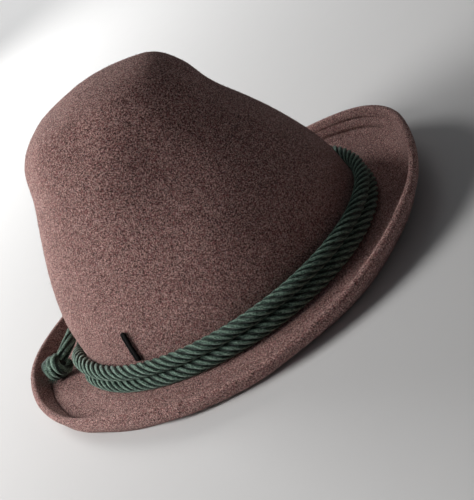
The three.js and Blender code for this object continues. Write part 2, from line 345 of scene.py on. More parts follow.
class NodeSheet:
    """A material's node tree, and the one method that adds nodes to it."""

    def __init__(self, name: str) -> None:
        """Starts an empty material.

        Args:
            name: the material's name.
        """
        self.material = bpy.data.materials.new(name)
        self.material.use_nodes = True
        self.tree = self.material.node_tree
        self.tree.nodes.clear()

    def node(
        self, kind: str, settings: dict[str, Any], inputs: dict[Any, Any], out: Union[int, str] = 0
    ) -> Wire:
        """Adds a node: its settings first, then the values or links of its sockets.

        Args:
            kind: Blender's node type.
            settings: attributes of the node.
            inputs: socket number or name, and a number, colour or Wire for it.
            out: the output that is returned.

        Returns:
            The output as a Wire.
        """
        made = self.tree.nodes.new(kind)
        for key, value in settings.items():
            setattr(made, key, value)
        for key, value in inputs.items():
            socket = made.inputs[key]
            if isinstance(value, Wire):
                self.tree.links.new(value.socket, socket)
            else:
                socket.default_value = value
        return Wire(self, made.outputs[out] if made.outputs else None)

    def place(self) -> Wire:
        """Object coordinates, in metres."""
        return self.node("ShaderNodeTexCoord", {}, {}, "Object")

    def strand_map(self) -> tuple[Wire, Wire, Wire]:
        """The piece's own map.

        Returns:
            It as a vector, and its two parts: centimetres along and strands across.
        """
        vector = self.node("ShaderNodeUVMap", {"uv_map": "strand"}, {})
        along = self.node("ShaderNodeSeparateXYZ", {}, {0: vector}, 0)
        across = self.node("ShaderNodeSeparateXYZ", {}, {0: vector}, 1)
        return vector, along, across

    def noise(
        self, at: Wire, scale: float, detail: float = 2.0, rough: float = 0.5, twist: float = 0.0
    ) -> Wire:
        """Noise at a scale per unit, as one value about 0.5."""
        inputs = {"Vector": at, "Scale": scale, "Detail": detail, "Roughness": rough, "Distortion": twist}
        return self.node("ShaderNodeTexNoise", {"noise_dimensions": "3D"}, inputs, "Fac")

    def ridges(self, at: Wire, scale: float, twist: float, sharp: float = 7.0) -> Wire:
        """Thin winding lines, 1 on the line: 1 - sharp |n - 0.5| of a noise n, held at 0."""
        far = abs(self.noise(at, scale, 1.0, 0.5, twist) - 0.5) * sharp
        return 1.0 - far.maths("MINIMUM", far, 1.0)

    def mix(self, share: Value, a: Any, b: Any) -> Wire:
        """Two colours mixed by a share."""
        return self.node("ShaderNodeMix", {"data_type": "RGBA"}, {0: share, 6: a, 7: b}, 2)

    def stretched(self, at: Wire, by: tuple[float, float, float]) -> Wire:
        """Coordinates multiplied axis by axis."""
        return self.node("ShaderNodeVectorMath", {"operation": "MULTIPLY"}, {0: at, 1: by})

    def bump(self, height: Wire, depth: float, strength: float) -> Wire:
        """Bump from a height, depth in metres."""
        return self.node("ShaderNodeBump", {}, {"Strength": strength, "Distance": depth, "Height": height})

    def close(self, inputs: dict[str, Any]) -> bpy.types.Material:
        """Ends the tree in a Principled shader.

        Args:
            inputs: socket names of the shader, and a number, colour or Wire for each.

        Returns:
            The material.
        """
        shader = self.node("ShaderNodeBsdfPrincipled", {}, inputs)
        self.node("ShaderNodeOutputMaterial", {}, {"Surface": shader})
        return self.material


# Finishes


@dataclass(frozen=True)
class FeltFinish:
    """Brown wool felt: winding fibres, dark pits, pale hairs and a soft mottling.

    Scales are counts to a metre. Weights are shares of a tone that runs from about 0 in
    the pits to about 1.2 on the palest hairs.
    """

    name: str = "brown_felt"
    dark: Colour = (0.040, 0.0160, 0.0140, 1.0)
    brown: Colour = (0.188, 0.0840, 0.0750, 1.0)
    pale: Colour = (0.740, 0.4750, 0.4200, 1.0)
    red: Colour = (0.260, 0.0740, 0.0790, 1.0)
    grey: Colour = (0.280, 0.2700, 0.3000, 1.0)
    sheen_tint: Colour = (0.90, 0.76, 0.70, 1.0)
    sheen: float = 0.18
    fibre_scale: float = 1050.0
    fibre_scale_step: float = 170.0
    fibre_twist: float = 1.2
    speck_scale: float = 1600.0
    fine_scale: float = 3300.0
    mottle_scale: float = 110.0
    broad_scale: float = 16.0
    red_scale: float = 980.0
    grey_scale: float = 1900.0
    fibre_weight: float = 1.05
    speck_weight: float = 6.6
    fine_weight: float = 4.4
    cloud_weight: float = 0.35
    level: float = 0.20
    red_share: float = 0.75
    grey_share: float = 0.50
    relief: float = 0.0012

    def grain(self, sheet: NodeSheet, at: Wire) -> Wire:
        """Fibres: the mean ridge of three noises, each stretched another way.

        Args:
            sheet: the node tree.
            at: coordinates in metres.

        Returns:
            1 on a fibre, 0 away from it.
        """
        ways = ((1.0, 0.35, 0.7), (0.5, 1.0, 0.35), (0.4, 0.6, 1.0))
        total: Value = 0.0
        for i, way in enumerate(ways):
            scale = self.fibre_scale + self.fibre_scale_step * i
            total = total + sheet.ridges(sheet.stretched(at, way), scale, self.fibre_twist)
        return total * (1 / len(ways))

    def make(self) -> bpy.types.Material:
        """Builds the material.

        Returns:
            The felt: tone = fibres + specks + fine grain + clouds, each less its mean and
            times its weight. Dark, brown and pale follow the tone; two more noises turn
            some fibres reddish and some grey.
        """
        sheet = NodeSheet(self.name)
        at = sheet.place()
        grain = self.grain(sheet, at)
        speck = sheet.noise(at, self.speck_scale, 2.0, 0.6)
        fine = sheet.noise(at, self.fine_scale, 1.0, 0.5)
        mottle = sheet.noise(at, self.mottle_scale, 4.0, 0.6)
        broad = sheet.noise(at, self.broad_scale, 2.0, 0.5)
        tone = grain * self.fibre_weight + (speck - 0.5) * self.speck_weight
        tone = tone + (fine - 0.5) * self.fine_weight
        tone = tone + (mottle + broad - 1.0) * self.cloud_weight + self.level
        plain = sheet.mix(tone.band(0.02, 0.72), self.dark, self.brown)
        hairy = sheet.mix(tone.band(0.50, 1.25), plain, self.pale)
        reddish = sheet.noise(at, self.red_scale, 2.0, 0.6).band(0.46, 0.62) * self.red_share
        greyish = sheet.noise(at, self.grey_scale, 1.0, 0.6).band(0.56, 0.68) * self.grey_share
        coloured = sheet.mix(greyish, sheet.mix(reddish, hairy, self.red), self.grey)
        return sheet.close(
            {
                "Base Color": sheet.mix(tone.band(-0.15, 0.45), self.dark, coloured),
                "Roughness": 0.95,
                "Normal": sheet.bump((grain + speck) * 0.5, self.relief, 0.8),
                "Specular IOR Level": 0.15,
                "Sheen Weight": self.sheen,
                "Sheen Roughness": 0.5,
                "Sheen Tint": self.sheen_tint,
            }
        )


@dataclass(frozen=True)
class CordFinish:
    """Dark green yarn: two plies to a strand, fine fibres along them, and painted shade near black between
    the strands.

    Weights are shares of a tone that is about 0 in the grooves, where shade is painted, and 1 on the
    palest fibres, mostly on the strands' crowns.
    """

    name: str = "green_cord"
    # near black: reached by the painted shade in the grooves and by the darkest fibres
    dark: Colour = (0.0016, 0.0042, 0.0032, 1.0)
    green: Colour = (0.0430, 0.0920, 0.0670, 1.0)
    light: Colour = (0.2900, 0.4300, 0.3450, 1.0)
    sheen_tint: Colour = (0.75, 0.92, 0.84, 1.0)
    plies: float = 2.0
    ply_slant: float = 1.1
    wander_scale: float = 260.0
    wander: float = 2.4
    fibre_stretch: tuple[float, float, float] = (3.0, 11.0, 1.0)
    fuzz_scale: float = 1700.0
    ply_weight: float = 0.14
    fibre_weight: float = 2.6
    fuzz_weight: float = 2.4
    # painted shade: how much darker the colour grows towards the grooves between strands
    groove_shade_weight: float = 1.25
    groove_shade_power: float = 1.8
    level: float = 0.82
    relief: float = 0.0010

    def make(self) -> bpy.types.Material:
        """Builds the material.

        Returns:
            The yarn: a sine across the strand that slants along it draws the plies, noise
            stretched along the strand its fibres, and painted shade darkens the grooves between strands.
        """
        sheet = NodeSheet(self.name)
        vector, along, across = sheet.strand_map()
        at = sheet.place()
        # painted shade: 0 on a strand's crown, 1 in the groove between two strands
        groove = abs(across.fraction() * 2.0 - 1.0) ** self.groove_shade_power
        wander = (sheet.noise(at, self.wander_scale, 2.0, 0.5) - 0.5) * self.wander
        phase = (across * self.plies + along * self.ply_slant) * FULL_TURN + wander
        ply = phase.sine() * 0.5 + 0.5
        fibre = sheet.noise(sheet.stretched(vector, self.fibre_stretch), 1.0, 4.0, 0.7, 0.3)
        fuzz = sheet.noise(at, self.fuzz_scale, 2.0, 0.6)
        tone = ply * self.ply_weight + (fibre - 0.5) * self.fibre_weight
        tone = tone + (fuzz - 0.5) * self.fuzz_weight - groove * self.groove_shade_weight + self.level
        base = sheet.mix(tone.band(0.0, 0.70), self.dark, self.green)
        return sheet.close(
            {
                "Base Color": sheet.mix(tone.band(0.55, 1.20), base, self.light),
                "Roughness": 0.75,
                "Normal": sheet.bump(ply * 0.25 + fibre * 0.7, self.relief, 0.8),
                "Specular IOR Level": 0.25,
                "Sheen Weight": 0.35,
                "Sheen Roughness": 0.45,
                "Sheen Tint": self.sheen_tint,
            }
        )


@dataclass(frozen=True)
class ThreadFinish:
    """Black twisted thread."""

    name: str = "black_thread"
    dark: Colour = (0.0010, 0.0010, 0.0011, 1.0)
    light: Colour = (0.0100, 0.0090, 0.0095, 1.0)
    fibre_stretch: tuple[float, float, float] = (6.0, 9.0, 1.0)
    # painted shade: how much darker the colour grows between the strands
    groove_shade_weight: float = 0.4
    relief: float = 0.0003

    def make(self) -> bpy.types.Material:
        """Builds the material.

        Returns:
            The thread: fibres stretched along the strand, with painted shade darker between the strands.
        """
        sheet = NodeSheet(self.name)
        vector, _, across = sheet.strand_map()
        # painted shade: 0 on a strand's crown, 1 in the groove between two strands
        groove = abs(across.fraction() * 2.0 - 1.0) ** 2.0
        fibre = sheet.noise(sheet.stretched(vector, self.fibre_stretch), 1.0, 3.0, 0.6, 0.2)
        tone = fibre - groove * self.groove_shade_weight
        return sheet.close(
            {
                "Base Color": sheet.mix(tone.band(0.1, 0.8), self.dark, self.light),
                "Roughness": 0.8,
                "Normal": sheet.bump(fibre, self.relief, 0.6),
                "Specular IOR Level": 0.25,
            }
        )


@dataclass(frozen=True)
class FibreFinish:
    """Loose hairs, one plain colour."""

    name: str
    colour: Colour

    def make(self) -> bpy.types.Material:
        """Builds the material."""
        inputs = {"Base Color": self.colour, "Roughness": 0.9, "Specular IOR Level": 0.15}
        return NodeSheet(self.name).close(inputs)


@dataclass(frozen=True)
class FloorFinish:
    """Pale seamless floor."""

    name: str = "pale_floor"
    colour: Colour = (0.66, 0.66, 0.66, 1.0)
    shade: Colour = (0.6468, 0.6468, 0.6468, 1.0)

    def make(self) -> bpy.types.Material:
        """Builds the material.

        Returns:
            An even pale grey with the faintest grain.
        """
        sheet = NodeSheet(self.name)
        colour = sheet.mix(sheet.noise(sheet.place(), 40.0, 3.0, 0.6), self.shade, self.colour)
        return sheet.close({"Base Color": colour, "Roughness": 0.9, "Specular IOR Level": 0.1})


# The hat


@dataclass(frozen=True)
class CordSizes:
    """Sizes of the cord that the hood and the cord share."""

    diameter: float = 8.5
    clearance: float = 0.3

    @property
    def pitch(self) -> float:
        """Distance between two turns that lie against each other."""
        return self.diameter + self.clearance

    @property
    def crease(self) -> float:
        """Radius of the fold between crown and brim, round the lower turn."""
        return self.diameter / 2 + self.clearance + 0.15


def crown_table() -> Array:
    """Oval sections of the crown from the cord up.

    Returns:
        Rows of height, middle, length and side: shares of the crown's height, twice of
        half its length, and of half its width.
    """
    return np.array(
        [
            [0.000, 0.020, 0.980, 1.000],
            [0.080, 0.018, 0.967, 0.974],
            [0.220, 0.022, 0.937, 0.923],
            [0.400, 0.023, 0.844, 0.841],
            [0.560, 0.026, 0.735, 0.737],
            [0.720, 0.020, 0.608, 0.624],
            [0.850, 0.022, 0.533, 0.515],
            [0.940, 0.038, 0.401, 0.395],
            [0.985, 0.043, 0.170, 0.180],
            [1.000, 0.043, 0.000, 0.000],
        ]
    )


def brim_table() -> Array:
    """Profile of the brim, a row every 30 degrees from front to back.

    Returns:
        Rows of fold out, fold up, edge out and edge up as shares of the brim's width,
        and the softness of the fold.
    """
    return np.array(
        [
            [0.816, -0.063, 0.892, 0.445, 0.58],
            [0.823, -0.100, 0.958, 0.334, 0.51],
            [0.763, -0.178, 0.879, 0.125, 0.39],
            [0.739, -0.165, 0.781, 0.012, 0.49],
            [0.793, -0.197, 0.693, 0.034, 0.31],
            [0.785, -0.128, 0.875, 0.026, 0.17],
            [0.851, -0.121, 0.980, 0.105, 0.14],
        ]
    )


@dataclass
class HoodShape:
    """The felt hood as one surface from the top of the crown to the edge of the brim."""

    half_length: float = 102.0
    half_width: float = 82.0
    crown_height: float = 140.0
    brim_width: float = 40.0
    thickness: float = 2.4
    edge_turn: float = 7.0
    # the turned-under layer ends between these shares of edge_turn
    edge_fade: tuple[float, float] = (0.65, 1.1)
    cord: CordSizes = field(default_factory=CordSizes)
    sections: Array = field(default_factory=crown_table)
    brim: Array = field(default_factory=brim_table)
    # azimuth, reach in degrees; height, rise as shares of crown_height; depth in felts
    dents: tuple[tuple[float, ...], ...] = (
        (68.0, 38.0, 0.64, 0.20, 2.1),
        (108.0, 26.0, 0.90, 0.10, 1.5),
    )
    dent_fade: float = 0.09

    @property
    def top(self) -> float:
        """Surface number of the cord line; 0 is the top of the crown."""
        return float(len(self.sections) - 1)

    def beside(self, azimuth: Array, out: Array, up: Array) -> Array:
        """Points beside the foot of the crown: an oval that grows with the distance out.

        Args:
            azimuth: radians from the front.
            out: distance out from the foot.
            up: height above the lower turn of the cord.

        Returns:
            Points, shape + (3,).
        """
        middle = self.sections[0, 1] * self.half_length
        x = middle + (self.sections[0, 2] * self.half_length + out) * np.cos(azimuth)
        y = (self.half_width + out) * np.sin(azimuth)
        return np.stack(np.broadcast_arrays(x, y, up), -1)

    def section(self, t: Array) -> Array:
        """Section of the crown.

        Args:
            t: section number, 0 at the cord.

        Returns:
            Height, middle, length and side shares, shape + (4,).
        """
        rows = self.sections
        mirrored = rows[-2] * np.array([1.0, 1.0, -1.0, -1.0])
        return through(rows, t, 2 * rows[0] - rows[1], mirrored)

    def plain_crown(self, t: Array, azimuth: Array) -> Array:
        """Oval sections: middle + length cos(azimuth), side sin(azimuth), height.

        Args:
            t: section numbers, 0 at the cord.
            azimuth: radians from the front, the same shape.

        Returns:
            Points, shape + (3,).
        """
        share = self.section(t)
        x = (share[..., 1] + share[..., 2] * np.cos(azimuth)) * self.half_length
        y = share[..., 3] * np.sin(azimuth) * self.half_width
        return np.stack([x, y, share[..., 0] * self.crown_height], -1)

    def dent(self, share: Array, azimuth: Array) -> Array:
        """Depth of the soft dents: sum of bells exp(-across^2 - along^2), faded at the top.

        Args:
            share: heights as shares of the crown's.
            azimuth: radians from the front.

        Returns:
            Depths in millimetres.
        """
        degrees = np.degrees(from_front(azimuth))
        depth = np.zeros_like(share)
        for middle, reach, height, rise, felts in self.dents:
            bell = np.exp(-(((degrees - middle) / reach) ** 2) - ((share - height) / rise) ** 2)
            depth = depth + felts * self.thickness * bell
        return depth * np.minimum(1.0, (1.0 - share) / self.dent_fade)

    def crown(self, t: Array, azimuth: Array) -> Array:
        """Crown with its dents pushed in along the normal of the plain crown.

        Args:
            t: section numbers, 0 at the cord.
            azimuth: radians from the front, the same shape.

        Returns:
            Points, shape + (3,).
        """
        e = SLOPE_STEP
        low, high = np.clip(t - e, 0, self.top), np.clip(t + e, 0, self.top)
        down = self.plain_crown(low, azimuth) - self.plain_crown(high, azimuth)
        round_ = self.plain_crown(t, azimuth + e) - self.plain_crown(t, azimuth - e)
        normal = unit(np.cross(down, round_))
        depth = self.dent(self.section(t)[..., 0], azimuth)
        pole = (t > self.top - 0.05)[..., None]
        return self.plain_crown(t, azimuth) - np.where(pole, 0.0, normal * depth[..., None])

    def brim_point(self, u: Array, azimuth: Array) -> Array:
        """Top of the brim.

        Args:
            u: 0..1 a quarter circle round the crease, 1..2 the flat part, rising as
                v^2 (1.5 - 0.5 v), 2..3 the fold as a three-point curve, 3..4 the edge.
            azimuth: radians from the front.

        Returns:
            Points, shape + (3,).
        """
        place = from_front(azimuth) / math.pi * (len(self.brim) - 1)
        row = through(self.brim, place, self.brim[1], self.brim[-2])
        fold, edge = row[..., 0:2] * self.brim_width, row[..., 2:4] * self.brim_width
        soft = row[..., 4:5]
        r = self.cord.crease
        before = fold + (np.array([r, -r]) - fold) * soft
        after = fold + (edge - fold) * soft
        q = np.clip(u, 0, 1) * math.pi / 2
        arc = np.stack([r - r * np.cos(q), -r * np.sin(q)], -1)
        v = np.clip(u - 1, 0, 1)
        rise = (before[..., 1] + r) * v * v * (1.5 - 0.5 * v)
        flat = np.stack([r + (before[..., 0] - r) * v, rise - r], -1)
        w = np.clip(u - 2, 0, 1)[..., None]
        bend = (1 - w) ** 2 * before + 2 * w * (1 - w) * fold + w * w * after
        wall = after + (edge - after) * np.clip(u - 3, 0, 1)[..., None]
        level = u[..., None]
        profile = np.where(level <= 1, arc, np.where(level <= 2, flat, np.where(level <= 3, bend, wall)))
        return self.beside(azimuth, profile[..., 0], profile[..., 1])

    def point(self, s: Array, azimuth: Array) -> Array:
        """Outer and upper side of the hood.

        Args:
            s: surface number, from 0 at the top of the crown to top + 4 at the edge.
            azimuth: radians from the front.

        Returns:
            Points, shape + (3,).
        """
        s, azimuth = np.broadcast_arrays(s, azimuth)
        crown = self.crown(np.clip(self.top - s, 0, self.top), azimuth)
        brim = self.brim_point(np.clip(s - self.top, 0, 4), azimuth)
        return np.where((s > self.top)[..., None], brim, crown)

    def normal(self, s: Array, azimuth: Array) -> Array:
        """Outward normal from the slopes along s and along the azimuth.

        Args:
            s: surface number.
            azimuth: radians from the front.

        Returns:
            Unit vectors, shape + (3,).
        """
        s, azimuth = np.broadcast_arrays(s, azimuth)
        e = SLOPE_STEP
        end = self.top + 4
        ahead = self.point(np.clip(s + e, 0, end), azimuth) - self.point(np.clip(s - e, 0, end), azimuth)
        round_ = self.point(s, azimuth + e) - self.point(s, azimuth - e)
        made = unit(np.cross(ahead, round_))
        return np.where((s < 0.05)[..., None], UP, made)

    def felt_at(self, s: Array, azimuth: Array) -> Array:
        """Thickness: one felt, and two where the edge of the brim is turned under.

        Args:
            s: surface number.
            azimuth: radians from the front.

        Returns:
            Thicknesses in millimetres.
        """
        s, azimuth = np.broadcast_arrays(s, azimuth)
        edge = self.point(np.full_like(s, self.top + 4), azimuth)
        away = np.linalg.norm(self.point(s, azimuth) - edge, axis=-1) / self.edge_turn
        doubled = self.thickness * (2 - smoothstep(away, *self.edge_fade))
        return np.where(s <= self.top + 1, self.thickness, doubled)

    def under(self, s: Array, azimuth: Array) -> Array:
        """Inner and lower side: the upper one moved in by the felt, flat where it rests.

        Args:
            s: surface number.
            azimuth: radians from the front.

        Returns:
            Points, shape + (3,).
        """
        points = self.point(s, azimuth) - self.normal(s, azimuth) * self.felt_at(s, azimuth)[..., None]
        points[..., 2] = np.maximum(points[..., 2], -HAT_PLACE[2])
        return points


@dataclass
class FeltHood:
    """Crown and brim, one piece of felt, with its turned-under edge and its inside."""

    shape: HoodShape
    columns: int = 320
    crown_rows: int = 70
    brim_rows: int = 132
    inner_rows: int = 60
    edge_rows: int = 11
    # waves round the hat, waves down it, depth in mm, start in radians
    waves: tuple[tuple[int, float, float, float], ...] = (
        (3, 0.7, 0.30, 0.4),
        (5, -0.9, 0.24, 1.9),
        (8, 1.3, 0.16, 3.1),
        (13, -1.1, 0.10, 5.0),
        (21, 2.3, 0.05, 2.2),
    )
    press_depth: float = 0.8
    # place up the brim, width, share of press_depth (below 0 raised), first and last degree
    # from the front (a first one below 0 has the line run through the front)
    press_lines: tuple[tuple[float, ...], ...] = (
        (2.50, 0.09, 2.3, 115.0, 200.0),
        (2.87, 0.055, 1.9, 14.0, 60.0),
        (3.50, 0.070, 1.2, 20.0, 62.0),
        (2.42, 0.140, 2.2, -30.0, 26.0),
        (2.95, 0.380, -1.7, -30.0, 26.0),
    )
    press_fade: float = 8.0

    def unevenness(self, s: Array, azimuth: Array) -> Array:
        """Hand-blocked felt: a sum of depth sin(k azimuth + m s + start), fading at the top.

        Args:
            s: surface number.
            azimuth: radians from the front.

        Returns:
            Distances out along the normal.
        """
        total = np.zeros(np.broadcast_shapes(s.shape, azimuth.shape))
        for around, down, depth, start in self.waves:
            total = total + depth * np.sin(around * azimuth + down * s + start)
        return total * smoothstep(s, 0.2, 3.0)

    def press_line(self, s: Array, azimuth: Array) -> Array:
        """Pressed lines in the brim's fold: narrow bells that fade in and out round the hat.

        Args:
            s: surface number.
            azimuth: radians from the front.

        Returns:
            Distances out along the normal, below 0 where the felt is pressed in.
        """
        degrees = np.degrees(from_front(azimuth))
        depth = np.zeros(np.broadcast_shapes(s.shape, azimuth.shape))
        fade = self.press_fade
        for place, width, share, low, high in self.press_lines:
            line = share * np.exp(-(((s - self.shape.top - place) / width) ** 2))
            begun = smoothstep(degrees, low - fade, low + fade)
            ended = smoothstep(degrees, high - fade, high + fade)
            depth = depth + line * begun * (1 - ended)
        return -self.press_depth * depth

    def outer(self) -> tuple[Array, Array, Array]:
        """Rings from the top of the crown to the edge of the brim.

        Returns:
            The points, their surface numbers and the azimuths.
        """
        azimuth = np.linspace(0, FULL_TURN, self.columns, endpoint=False)[None, :]
        top = self.shape.top
        crown = np.concatenate([[0.1, 0.25], np.linspace(0.5, top, self.crown_rows, endpoint=False)])
        s = np.concatenate([crown, np.linspace(top, top + 4, self.brim_rows)])[:, None]
        lift = self.unevenness(s, azimuth) + self.press_line(s, azimuth)
        return self.shape.point(s, azimuth) + self.shape.normal(s, azimuth) * lift[..., None], s, azimuth

    def rings(self) -> Array:
        """All rings from the top of the crown over the edge to the inside of the top.

        Returns:
            Points, shape (rows, columns, 3).
        """
        outer, _, azimuth = self.outer()
        end = np.full((1, 1), self.shape.top + 4)
        turn = np.linspace(0, math.pi, self.edge_rows + 2)[1:-1][:, None, None]
        lift = self.unevenness(end, azimuth)[..., None]
        edge = self.shape.point(end, azimuth)
        normal = self.shape.normal(end, azimuth)
        ahead = unit(edge - self.shape.point(end - 0.1, azimuth))
        half = self.shape.thickness
        rim = edge + normal * (lift + half * (np.cos(turn) - 1)) + ahead * half * np.sin(turn)
        back = np.linspace(self.shape.top + 4, 0.1, self.inner_rows)[:, None]
        inner = self.shape.under(back, azimuth)
        shifted = inner + self.shape.normal(back, azimuth) * self.unevenness(back, azimuth)[..., None]
        shifted[..., 2] = np.maximum(shifted[..., 2], -HAT_PLACE[2])
        return np.concatenate([outer, rim, shifted])

    def build(self, finish: bpy.types.Material) -> bpy.types.Object:
        """Makes the hood.

        Args:
            finish: the felt.

        Returns:
            The finished piece, in place of the CAD node felt_hood.
        """
        parts = MeshParts("hood_felt")
        parts.add_rings(self.rings())
        return finish_piece(parts.build(), finish, Slot.FELT, "felt_hood")

    def build_nap(self, finish: bpy.types.Material, count: int = 15000) -> bpy.types.Object:
        """Makes the loose hairs that stand off the felt.

        Args:
            finish: their colour.
            count: how many.

        Returns:
            The finished piece.
        """
        rings = self.rings()[: self.crown_rows + self.brim_rows + self.edge_rows]
        hairs = Hairs("nap_hairs", Slot.FELT, count, seed=7, shortest=0.7, longest=1.7)
        return hairs.build(rings, finish)


@dataclass
class Hairs:
    """Short bent hairs that stand off a surface."""

    name: str
    slot: Slot
    count: int
    seed: int
    shortest: float
    longest: float
    radius: float = 0.05
    # rise over the surface per length along it
    flattest: float = 0.25
    steepest: float = 1.15
    tip_rise: float = 0.4
    tip_spread: float = 0.5

    def build(self, rings: Array, finish: bpy.types.Material) -> bpy.types.Object:
        """Makes the hairs.

        Args:
            rings: the surface, shape (rows, columns, 3).
            finish: their colour.

        Returns:
            The finished piece.
        """
        rng = np.random.default_rng(self.seed)
        roots, normals, side = scatter(rings, self.count, rng)
        one_each = (self.count, 1)
        turn = rng.random(one_each) * FULL_TURN
        lying = side * np.cos(turn) + np.cross(normals, side) * np.sin(turn)
        length = self.shortest + (self.longest - self.shortest) * rng.random(one_each) ** 2
        slope = self.flattest + (self.steepest - self.flattest) * rng.random(one_each)
        ways = unit(normals * slope + lying) * length * 0.5
        astray = rng.normal(0, self.tip_spread, (self.count, 3))
        tips = unit(normals * slope * self.tip_rise + lying + astray) * length * 0.5
        parts = MeshParts(self.name)
        parts.add_fibres(roots - normals * self.radius, ways, tips, self.radius)
        return finish_piece(parts.build(), finish, self.slot)


@dataclass(frozen=True)
class Lay:
    """How a cord or thread is laid: its strands, their lay and the depth between them."""

    strands: int
    length: float
    groove: float
    columns: int
    # share of the full twist where an opened cord begins
    loosest: float = 0.3

    def rings(
        self, line: Array, radius: Array, upright: Array, opened: float = 0.0
    ) -> tuple[Array, Array]:
        """Rings whose columns follow the strands, turning right-handed.

        The radius is R (1 - g + g sqrt(1 - x^2)), x from -1 to 1 across a strand; the
        columns stand at x = sin(q), closest at the grooves. A column's angle falls by a
        full turn in each lay, more slowly over the first part of an opened cord.

        Args:
            line: centre points.
            radius: at each centre point.
            upright: a direction that the line never runs along.
            opened: length from the start over which the lay is loose.

        Returns:
            Rings, and their map: centimetres along and strands across.
        """
        along = unit(np.gradient(line, axis=0))
        side = unit(np.cross(upright, along))
        up = np.cross(side, along)
        s = run_length(line)
        rate = np.ones_like(s)
        if opened > 0.0:
            closed = smoothstep(s, self.loosest * opened, opened)
            rate = self.loosest + (1 - self.loosest) * closed
        twist = np.concatenate([[0.0], np.cumsum(np.diff(s) * rate[1:])]) * FULL_TURN / self.length
        q = -math.pi / 2 + math.pi * np.arange(self.columns) / self.columns
        x = 0.99 * np.sin(q)
        share = (np.arange(self.strands)[:, None] + (np.sin(q) + 1)[None, :] / 2).ravel()
        lobe = np.tile(np.sqrt(1 - x * x), self.strands)
        angle = FULL_TURN * share[None, :] / self.strands - twist[:, None]
        r = radius[:, None] * (1 - self.groove + self.groove * lobe[None, :])
        ring = line[:, None, :] + side[:, None, :] * (r * np.cos(angle))[..., None]
        ring = ring + up[:, None, :] * (r * np.sin(angle))[..., None]
        across = np.append(share, self.strands)
        uv = np.stack(np.broadcast_arrays(s[:, None] / 10.0, across[None, :]), -1)
        return ring, uv


def rounded(line: Array, radius: float, first: bool = True, last: bool = True) -> Array:
    """A steady radius that closes as a half ball, r sqrt(1 - near^2), at an end of a line.

    Args:
        line: centre points.
        radius: away from the ends.
        first: whether it closes at the first point.
        last: whether it closes at the last point.

    Returns:
        The radius at each centre point.
    """
    s = run_length(line)
    size = np.full(len(line), radius)
    for wanted, away in ((first, s), (last, s[-1] - s)):
        if wanted:
            near = np.clip(1 - away / radius, 0, 1)
            size = np.minimum(size, radius * np.sqrt(np.maximum(1 - near * near, 0.01)))
    return size


@dataclass
class TwistedCord:
    """The long cord: it leaves the knot, runs round twice and ends beneath itself."""

    shape: HoodShape
    lay: Lay = Lay(6, 34.0, 0.50, 10)
    step: float = 1.1
    # the fibres stand off the cord's nominal size by this factor
    fullness: float = 1.04
    neck_radius: float = 4.1
    # lengths from the knot over which the neck grows, and the lay closes
    neck_from: float = 7.0
    neck_to: float = 26.0
    opened: float = 30.0
    # turn in degrees from the back centre over the wearer's left, out, up in pitches
    route: Array = field(
        default_factory=lambda: np.array(
            [
                [-5, 1.72, 0.76],
                [-3.5, 1.36, 0.90],
                [-1.5, 1.02, 1.04],
                [1.5, 0.74, 1.12],
                [6, 0.52, 1.09],
                [12, 0.43, 1.00],
                [337, 0.42, 1.00],
                [342, 0.43, 0.90],
                [347, 0.44, 0.70],
                [351, 0.46, 0.50],
                [354.5, 0.49, 0.28],
                [358, 0.52, 0.07],
                [363, 0.54, 0.00],
                [696, 0.54, 0.00],
            ],
            float,
        )
    )
    # quarter degrees over which the route is averaged, at the neck and beyond it
    mean_widths: tuple[int, int] = (7, 21)
    # the neck's hidden end, inside the knot
    tucked: tuple[float, float, float] = (-6.3, 2.12, 0.58)

    def beside_crown(self, turn: Array, out: Array, up: Array) -> Array:
        """Points beside the foot of the crown; out and up in pitches of the cord."""
        pitch = self.shape.cord.pitch
        return self.shape.beside(math.pi - np.radians(turn), out * pitch, up * pitch)

    def centre_line(self) -> Array:
        """The route at even steps; a running mean rounds its corners, shorter at the neck.

        Returns:
            Centre points, shape (n, 3).
        """
        route = np.vstack([self.tucked, self.route])
        turn = np.arange(route[0, 0], route[-1, 0], 0.25)
        wide = smoothstep(turn, 3.0, 12.0)
        smooth = []
        for column in (1, 2):
            raw = np.interp(turn, route[:, 0], route[:, column])
            means = []
            for width in self.mean_widths:
                kernel = np.hanning(width) / np.hanning(width).sum()
                means.append(np.convolve(np.pad(raw, width // 2, mode="edge"), kernel, "valid"))
            smooth.append(means[0] + (means[1] - means[0]) * wide)
        return even_line(self.beside_crown(turn, smooth[0], smooth[1]), self.step)

    def rings(self) -> tuple[Array, Array]:
        """The cord's surface; the neck is thinner than the rest.

        Returns:
            Its rings and their map.
        """
        line = self.centre_line()
        full = self.shape.cord.diameter / 2 * self.fullness
        grown = smoothstep(run_length(line), self.neck_from, self.neck_to)
        growing = self.neck_radius + (full - self.neck_radius) * grown
        radius = np.minimum(growing, rounded(line, full, False))
        return self.lay.rings(line, radius, UP, self.opened)

    def build(self, finish: bpy.types.Material) -> bpy.types.Object:
        """Makes the cord.

        Args:
            finish: the yarn.

        Returns:
            The finished piece, in place of the CAD node cord.
        """
        rings, uv = self.rings()
        parts = MeshParts("cord_twisted")
        parts.add_rings(rings, uv)
        return finish_piece(parts.build(), finish, Slot.CORD, "cord")

    def build_hairs(self, finish: bpy.types.Material, count: int = 5000) -> bpy.types.Object:
        """Makes the loose fibres that stand off the cord."""
        hairs = Hairs("cord_hairs", Slot.CORD, count, seed=11, shortest=0.6, longest=1.5)
        return hairs.build(self.rings()[0], finish)


